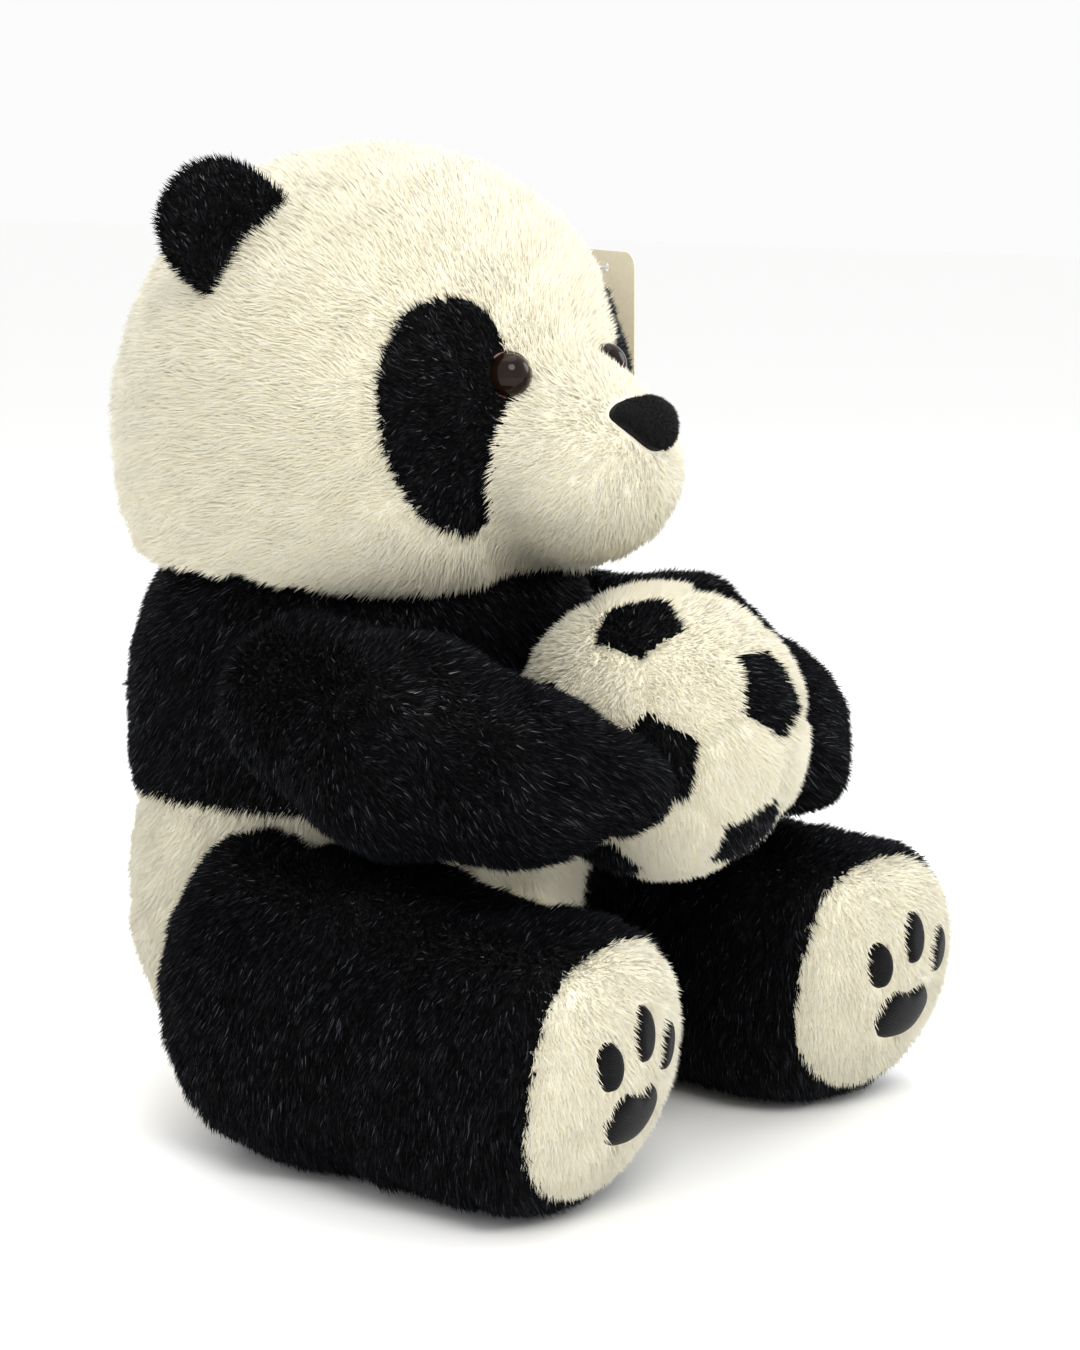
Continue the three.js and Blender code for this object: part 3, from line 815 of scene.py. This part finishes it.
NOSE_AT = np.array([122.0, 0, 327])
NOSE_LOOKS = np.array([0.93, 0, 0.37])
NOSE_OUTLINE = smooth_outline(
    [(0, 13), (12, 12), (19, 6), (13, -5), (5, -12), (-5, -12), (-13, -5), (-19, 6), (-12, 12)],
    1, 6,
)
NOSE_REACH = 25.0  # how far behind its board the nose still counts
NOSE_RINGS = 12
NOSE_RISE = 7.0
NOSE_INSET, NOSE_UNDER = 2.5, 6.0  # where the nose's edge and its underside lie in the head
NOSE_PILE, NOSE_PILE_WIDTH, NOSE_PILE_LEAN = 1.7, 0.32, 0.8
NOSE_SPACING = 0.75
NOSE_NAP = np.array([0.3, 0, -1.0])


def nose_distance(p):
    flat, ahead = on_board(p, NOSE_AT, NOSE_LOOKS)
    return np.where(ahead > -NOSE_REACH, outline_distance(NOSE_OUTLINE, flat), FAR)


def build_nose():
    """A padded pad of velour whose edge turns in against the muzzle."""
    across, upright, facing = board(NOSE_LOOKS)
    top, under = [], []
    for k in range(NOSE_RINGS + 1):
        out = k / NOSE_RINGS
        for u, v in NOSE_OUTLINE * out:
            start = NOSE_AT + across * u + upright * v
            rise = NOSE_RISE * (1 - out**3.2) ** 0.6 if out < 1 else 0
            edge = surface_point(head_field, start, NOSE_LOOKS, NOSE_INSET)
            top.append(edge + facing * rise)
            under.append(surface_point(head_field, start, NOSE_LOOKS, NOSE_UNDER))
    top = np.array(top)
    faces = rings_to_faces(NOSE_RINGS, len(NOSE_OUTLINE))
    velour = cloth_material(
        "nose_velour", (0.002, 0.002, 0.002), (0.007, 0.007, 0.008), 0.85, 0.0003
    )
    obj = mesh_object("nose_pad", np.vstack([top, under]), faces, velour)
    face_outward(obj, weld=True)
    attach(obj, "head")
    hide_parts("nose")
    shell = np.array(faces)
    shell = shell[(shell < len(top)).all(axis=1)]
    flat = np.vstack([shell[:, [0, 1, 2]], shell[:, [0, 2, 3]]])
    roots = scatter(top, flat, NOSE_SPACING, seed=91)
    normals = unit(gradient(head_field, roots) + 0.08 * (roots - NOSE_AT))
    grow_pile(
        "nose_pile", "head", roots, normals, nap_at(NOSE_NAP, roots), M["velour"], [1.0],
        NOSE_PILE, NOSE_PILE_WIDTH, NOSE_PILE_LEAN, seed=92,
    )


# ---- Ears ----
EAR_ROOT = {"right": np.array([-36.0, 98, 409]), "left": np.array([-42.0, 102, 399])}
EAR_ALONG = unit([-0.2, 0.59, -0.78])
EAR_OUT = {"right": unit([-0.35, 0.62, 0.62]), "left": unit([-0.45, 0.82, 0.3])}
EAR_RADII = (33, 38, 8)
EAR_CUP = 4.0  # how deep the ear's hollow is
EAR_SPAN = 34.0  # from the ear's middle to where the hollow ends
EAR_INSET = 4.5
EAR_SEAM = -2.5  # where the ear's halves meet, through its thickness
EAR_PILE, EAR_PILE_WIDTH, EAR_PILE_LEAN = 5.0, 0.5, 0.8


def build_ears():
    for name, side in SIDES.items():
        along = on_side(side, EAR_ALONG)
        out = on_side(side, EAR_OUT[name])
        through = unit(np.cross(along, out))
        out = unit(np.cross(through, along))
        if through[0] < 0:
            through = -through
        axes = np.stack([along, out, through])
        root = on_side(side, EAR_ROOT[name])

        def field(p, axes=axes, root=root):
            q = (p - root) @ axes.T
            q[:, 2] += EAR_CUP * (1 - (q[:, 0] / EAR_SPAN) ** 2)
            return ellipsoid((0, 0, 0), EAR_RADII, 2.3)(q)

        skin = puff(field, root - through * 2 + out * 6, EAR_INSET)
        middles = skin[RAY_FACES].mean(axis=1)
        front = (middles - root) @ through > EAR_SEAM
        for half, keep in (("front", front), ("back", ~front)):
            obj = panel(f"{name}_ear_{half}_cloth", skin, RAY_FACES, keep, M["black_cloth"], THIN)
            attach(obj, f"{name}_ear")
            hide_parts(f"{name}_ear_{half}")
        roots = scatter(skin, RAY_FACES, SPACING, seed=31)
        roots = roots[head_field(roots) > -PILE - 1]
        pile(
            f"{name}_ear_pile", f"{name}_ear", roots, field, out, "black",
            EAR_PILE, EAR_PILE_WIDTH, EAR_PILE_LEAN, seed=41 + side,
        )


# ---- Torso and neck ----
TORSO_MIDDLE = (-42, 0, 130)
SEAT_BARE_Z, NECK_BARE_Z = 3.0, 268.0  # the torso grows no pile below or above these
LIMB_DEPTH = 12.0  # how deep in a limb the torso's pile ends
TORSO_DEPTH = 14.0  # how deep in the torso a limb's pile ends
BLACK_PILE, IVORY_PILE = 6.5, 7.0
DOWN = np.array([0, 0, -1.0])


def build_torso():
    skin = puff(torso_field, TORSO_MIDDLE, PILE)
    normals = gradient(torso_field, skin)
    seam = np.abs(skin[:, 2] - BAND_Z)
    skin = pinched(skin, normals, seam, depth=2.0, width=4)
    skin += normals * (1.6 * waves(skin, size=70, seed=6))[:, None] * (skin[:, 2:3] > 12)
    upper = tips(skin[RAY_FACES].mean(axis=1), torso_field, DOWN)[:, 2] > BAND_Z
    for node, keep, cloth in (
        ("torso_black_cover", upper, "black_cloth"),
        ("torso_ivory_cover", ~upper, "ivory_cloth"),
    ):
        obj = panel(f"{node}_cloth", skin, RAY_FACES, keep, M[cloth])
        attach(obj, "torso")
        if "black" in node:
            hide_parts(node, "torso_stuffing")
        else:
            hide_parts(node)
    roots = scatter(skin, RAY_FACES, SPACING, seed=51)
    buried = (roots[:, 2] < SEAT_BARE_Z) | (roots[:, 2] > NECK_BARE_Z)
    for name, side in SIDES.items():
        buried |= mirrored(arm_field(name), side)(roots) < -LIMB_DEPTH
        buried |= mirrored(leg_field, side)(roots) < -LIMB_DEPTH
    roots = roots[~buried]
    upper = tips(roots, torso_field, DOWN)[:, 2] > BAND_Z
    for name, keep, color, length, seed in (
        ("torso_black_pile", upper, "black", BLACK_PILE, 52),
        ("torso_ivory_pile", ~upper, "ivory", IVORY_PILE, 53),
    ):
        pile(name, "torso", roots[keep], torso_field, DOWN, color, length, seed=seed)


NECK_CLOTH = 2.0
NECK_UNDER = 22.0  # how far above the head's lower edge the neck cloth begins


def build_neck():
    skin = puff(sphere(NECK_PIVOT, HEAD_HOLLOW - 2), NECK_PIVOT, 0)
    keep = skin[RAY_FACES].mean(axis=1)[:, 2] > NECK_Z + NECK_UNDER
    obj = panel("neck_cloth", skin, RAY_FACES, keep, M["black_cloth"], NECK_CLOTH)
    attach(obj, "neck")
    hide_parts("neck_stuffing")


# ---- Limbs ----
ARM_NAP_DROP = 60.0  # the arms' nap runs to the paws, and this far down


def build_arms():
    for name, side in SIDES.items():
        field = mirrored(arm_field(name), side)
        middle = on_side(side, ARMS[name][0])
        skin = puff(field, middle, PILE, stretch=(1.4, 1, 1))
        normals = gradient(field, skin)
        skin += normals * (1.8 * waves(skin, size=45, seed=61))[:, None]
        obj = mesh_object(f"{name}_arm_cloth", skin, RAY_FACES, M["black_cloth"])
        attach(obj, f"{name}_arm")
        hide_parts(f"{name}_arm_cover", f"{name}_arm_stuffing")
        roots = scatter(skin, RAY_FACES, SPACING, seed=62)
        in_ball = sphere(BALL_CENTRE, BALL_RADIUS - 1)(roots) < 0
        roots = roots[~((torso_field(roots) < -TORSO_DEPTH) | in_ball)]
        nap = on_side(side, np.array(ARMS[name][2]) - SHOULDER) + ARM_NAP_DROP * DOWN
        pile(
            f"{name}_arm_pile", f"{name}_arm", roots, field, nap, "black", BLACK_PILE,
            seed=63 + side,
        )


LEG_MIDDLE = (60, 108, 70)
LEG_NAP = np.array([0.35, 0, -1.0])
FOLD_STRETCH = np.array([1.6, 1, 0.7])  # the legs' folds run up and down
LEG_BARE_Z = 2.5  # the legs grow no pile below this
SOLE_PILE, SOLE_PILE_LEAN = 5.2, 0.9
SOLE_HANG = 3.2  # how far the sole's pile hangs below its roots


def sole_ahead(side, p):
    """How far points lie ahead of the seam between a leg's cloth and its sole."""
    return (p - on_side(side, FOOT)) @ sole_looks(side) + SOLE_DEPTH


def leg_skin(side, field):
    skin = puff(field, on_side(side, LEG_MIDDLE), PILE, stretch=(1.5, 1, 1))
    normals = gradient(field, skin)
    seam = np.abs(sole_ahead(side, skin))
    skin = pinched(skin, normals, seam, depth=2.5, width=3.5)
    folds = 2.4 * waves(skin * FOLD_STRETCH, size=60, seed=71)
    loose = (skin[:, 2] > 10) & (sole_ahead(side, skin) < -12)
    return skin + normals * (folds * loose)[:, None]


def build_legs():
    for name, side in SIDES.items():
        body = f"{name}_leg"
        field = mirrored(leg_field, side)
        skin = leg_skin(side, field)
        ahead = sole_ahead(side, tips(skin[RAY_FACES].mean(axis=1), field, LEG_NAP)) > 0
        for node, keep, cloth in (
            ("leg_cover", ~ahead, "black_cloth"),
            ("sole", ahead, "ivory_cloth"),
        ):
            obj = panel(f"{name}_{node}_cloth", skin, RAY_FACES, keep, M[cloth])
            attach(obj, body)
            if node == "sole":
                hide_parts(f"{name}_sole")
            else:
                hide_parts(f"{name}_leg_cover", f"{name}_leg_stuffing")
        roots = scatter(skin, RAY_FACES, SPACING, seed=72)
        roots = roots[~((torso_field(roots) < -TORSO_DEPTH) | (roots[:, 2] < LEG_BARE_Z))]
        ahead = sole_ahead(side, tips(roots, field, LEG_NAP)) > 0
        black, ivory = roots[~ahead], roots[ahead]
        pile(f"{body}_pile", body, black, field, LEG_NAP, "black", BLACK_PILE, seed=73 + side)
        hung = ivory + SOLE_HANG * DOWN
        clear = np.minimum(pad_distance(side, ivory), pad_distance(side, hung)) > PAD_GAP
        pile(
            f"{name}_sole_pile", body, ivory[clear], field, DOWN, "ivory", SOLE_PILE,
            lean=SOLE_PILE_LEAN, seed=76 + side,
        )
        build_pads(name, side, field)


PAD_GAP = 0.2
PAD_RINGS = 10
PAD_SPREAD = 1.05  # the pads lap a little over the cleared cloth
PAD_RISE, PAD_SINK, PAD_SEAT = 3.2, 2.4, 0.8
TOE_PAD = (13, 21)
MIDDLE_TOE_PAD = (13, 23)
TOE_AT = (23, 8)
MIDDLE_TOE_AT = (0, 18)
TOE_LEAN = 0.2
HEEL = smooth_outline(
    [(0, -9), (11, -7), (19, -17), (13, -28), (0, -31), (-13, -28), (-19, -17), (-11, -7)], 1, 5
)


def ellipse(size, x, y, lean):
    width, height = size
    a = np.linspace(0, 2 * math.pi, 32, endpoint=False)
    p = np.stack([np.cos(a) * width / 2, np.sin(a) * height / 2], axis=1)
    c, s = math.cos(lean), math.sin(lean)
    return p @ np.array([[c, s], [-s, c]]) + np.array([x, y])


def pad_outlines(side):
    return {
        "inner_toe_pad": ellipse(TOE_PAD, -side * TOE_AT[0], TOE_AT[1], side * TOE_LEAN),
        "middle_toe_pad": ellipse(MIDDLE_TOE_PAD, *MIDDLE_TOE_AT, 0),
        "outer_toe_pad": ellipse(TOE_PAD, side * TOE_AT[0], TOE_AT[1], -side * TOE_LEAN),
        "heel_pad": HEEL,
    }


def pad_distance(side, p):
    flat = on_board(p, on_side(side, FOOT), sole_looks(side))[0]
    return np.min([outline_distance(o, flat) for o in pad_outlines(side).values()], axis=0)


def build_pads(name, side, field):
    """Satin-stitched pads: rows of thread side by side, crowned over the cloth."""
    across, upright, facing = board(sole_looks(side))
    for pad, outline in pad_outlines(side).items():
        middle = outline.mean(axis=0)
        top, under = [], []
        for k in range(PAD_RINGS + 1):
            out = k / PAD_RINGS
            rise = PAD_RISE * (1 - out**4) ** 0.5 if out < 1 else 0
            for u, v in middle + (outline - middle) * out * PAD_SPREAD:
                start = on_side(side, FOOT) + across * u + upright * v
                base = surface_point(field, start, facing, PILE - PAD_SEAT)
                top.append(base + facing * rise)
                under.append(base - facing * PAD_SINK)
        faces = rings_to_faces(PAD_RINGS, len(outline))
        obj = mesh_object(f"{name}_{pad}_thread", np.vstack([top, under]), faces, M["thread"])
        face_outward(obj, weld=True)
        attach(obj, f"{name}_leg")
        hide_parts(f"{name}_{pad}")


def thread_material():
    material, shader, nodes, links = new_material("satin_thread", (0.004, 0.004, 0.005), 0.5)
    where = nodes.new("ShaderNodeTexCoord")
    rows = nodes.new("ShaderNodeTexWave")
    rows.bands_direction = "Z"
    rows.inputs["Scale"].default_value = 420
    rows.inputs["Distortion"].default_value = 1.2
    links.new(where.outputs["Object"], rows.inputs["Vector"])
    shader.inputs["Specular IOR Level"].default_value = 0.08
    bumped(nodes, links, shader, rows.outputs["Fac"], 0.8, 0.0004)
    roughened(nodes, links, shader, rows.outputs["Fac"], 0.3, 0.5)
    return material


# ---- Ball ----
PANEL_AHEAD = unit([0.166, -0.51, 0.845])
PANEL_BESIDE = unit([0.933, 0.024, 0.363])
PANEL_CORNER = 0.365
NEIGHBOURS = 0.4  # the least cosine between two neighbouring panels' directions
BALL_PILE, BALL_PILE_WIDTH, BALL_PILE_LEAN = 5.2, 0.5, 0.85
BALL_SKIN = 5.0  # how far the ball's cloth lies under its surface
BALL_NAP = np.array([0.3, 0.4, -1.0])


def panel_directions():
    step = math.atan(2)
    lean = unit(PANEL_BESIDE - PANEL_BESIDE @ PANEL_AHEAD * PANEL_AHEAD)
    side = np.cross(PANEL_AHEAD, lean)
    ring = [
        PANEL_AHEAD * math.cos(step) + math.sin(step) * (lean * math.cos(a) + side * math.sin(a))
        for a in (k * 2 * math.pi / 5 for k in range(5))
    ]
    half = np.array([PANEL_AHEAD, *ring])
    return np.vstack([half, -half])


def pentagon_distance(d, axis, corner):
    """About the distance on the ball to a black panel's edge, negative inside."""
    across = np.cross(axis, corner)
    toward = d @ axis
    u = (d @ corner) / np.maximum(toward, 0.2)
    v = (d @ across) / np.maximum(toward, 0.2)
    apothem = PANEL_CORNER * math.cos(math.pi / 5)
    edges = [
        u * math.cos(a) + v * math.sin(a) - apothem
        for a in (math.pi / 5 + k * 2 * math.pi / 5 for k in range(5))
    ]
    return np.where(toward > 0.5, np.max(edges, axis=0) * BALL_RADIUS, FAR)


def ball_seams(d):
    """Distance to each black panel, and to the seams between the ivory ones."""
    axes = panel_directions()
    black = []
    for axis in axes:
        neighbour = next(a for a in axes if NEIGHBOURS < a @ axis < 0.9)
        corner = unit(neighbour - neighbour @ axis * axis)
        black.append(pentagon_distance(d, axis, corner))
    seam = np.full(len(d), FAR)
    for i, a in enumerate(axes):
        for b in axes[i + 1:]:
            if a @ b < NEIGHBOURS:
                continue
            across = unit(np.cross(a, b))
            middle = unit(a + b)
            beside = d @ middle > 0.9
            seam = np.where(beside, np.minimum(seam, np.abs(d @ across) * BALL_RADIUS), seam)
    return np.array(black), seam


def ball_panels(roots, field):
    """Which black panel the tufts on these roots show, one row for each panel."""
    ends = tips(roots, field, BALL_NAP, BALL_PILE, BALL_PILE_LEAN)
    return ball_seams(unit(ends - BALL_CENTRE))[0] < 0


def build_ball():
    field = sphere(BALL_CENTRE, BALL_RADIUS)
    skin = puff(field, BALL_CENTRE, BALL_SKIN)
    d = unit(skin - BALL_CENTRE)
    black, seam = ball_seams(d)
    edge = np.minimum(np.abs(black).min(axis=0), np.where(black.min(axis=0) > 0, seam, FAR))
    skin = pinched(skin, d, edge, depth=3.0, width=4.5)
    inside = ball_panels(skin[RAY_FACES].mean(axis=1), field)
    for i in range(len(inside)):
        label = f"ball_black_panel_{i + 1}"
        obj = panel(f"{label}_cloth", skin, RAY_FACES, inside[i], M["black_cloth"], THIN)
        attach(obj, "ball")
        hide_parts(label)
    obj = panel("ball_ivory_cloth", skin, RAY_FACES, ~inside.any(axis=0), M["ivory_cloth"], THIN)
    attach(obj, "ball")
    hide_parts("ball_ivory_panels", "ball_stuffing")
    roots = scatter(skin, RAY_FACES, SPACING, seed=81)
    dark = ball_panels(roots, field).any(axis=0)
    for color, keep, seed in (("black", dark, 82), ("ivory", ~dark, 83)):
        pile(
            f"ball_{color}_pile", "ball", roots[keep], field, BALL_NAP, color,
            BALL_PILE, BALL_PILE_WIDTH, BALL_PILE_LEAN, seed=seed,
        )


# ---- Hidden and hard pieces of the frame ----
def finish_frame_nodes():
    washer, shader, nodes, links = new_material("washer_plastic", (0.8, 0.77, 0.7), 0.45)
    roughened(nodes, links, shader, noise(nodes, links, 260, 3).outputs["Fac"], 0.35, 0.55)
    card, shader, nodes, links = new_material("tag_card", (0.8, 0.74, 0.6), 0.7)
    fibres = noise(nodes, links, 380, 5).outputs["Fac"]
    mottled(nodes, links, shader, fibres, (0.72, 0.66, 0.52), (0.84, 0.79, 0.66))
    bumped(nodes, links, shader, fibres, 0.25, 0.0002)
    nylon, shader, nodes, links = new_material("clear_nylon", (0.75, 0.77, 0.78), 0.3)
    roughened(nodes, links, shader, noise(nodes, links, 500, 3).outputs["Fac"], 0.22, 0.42)
    shader.inputs["Transmission Weight"].default_value = 0.5
    for node, material in {
        "right_eye_washer": washer,
        "left_eye_washer": washer,
        "hang_tag": card,
        "tag_fastener": nylon,
    }.items():
        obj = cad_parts[node]
        if not obj.material_slots:
            obj.data.materials.append(material)
        for slot in obj.material_slots:
            slot.material = material


add_camera()
add_studio()
M = make_materials()
build_head()
build_eyes()
build_nose()
build_ears()
build_torso()
build_neck()
build_arms()
build_legs()
build_ball()
finish_frame_nodes()
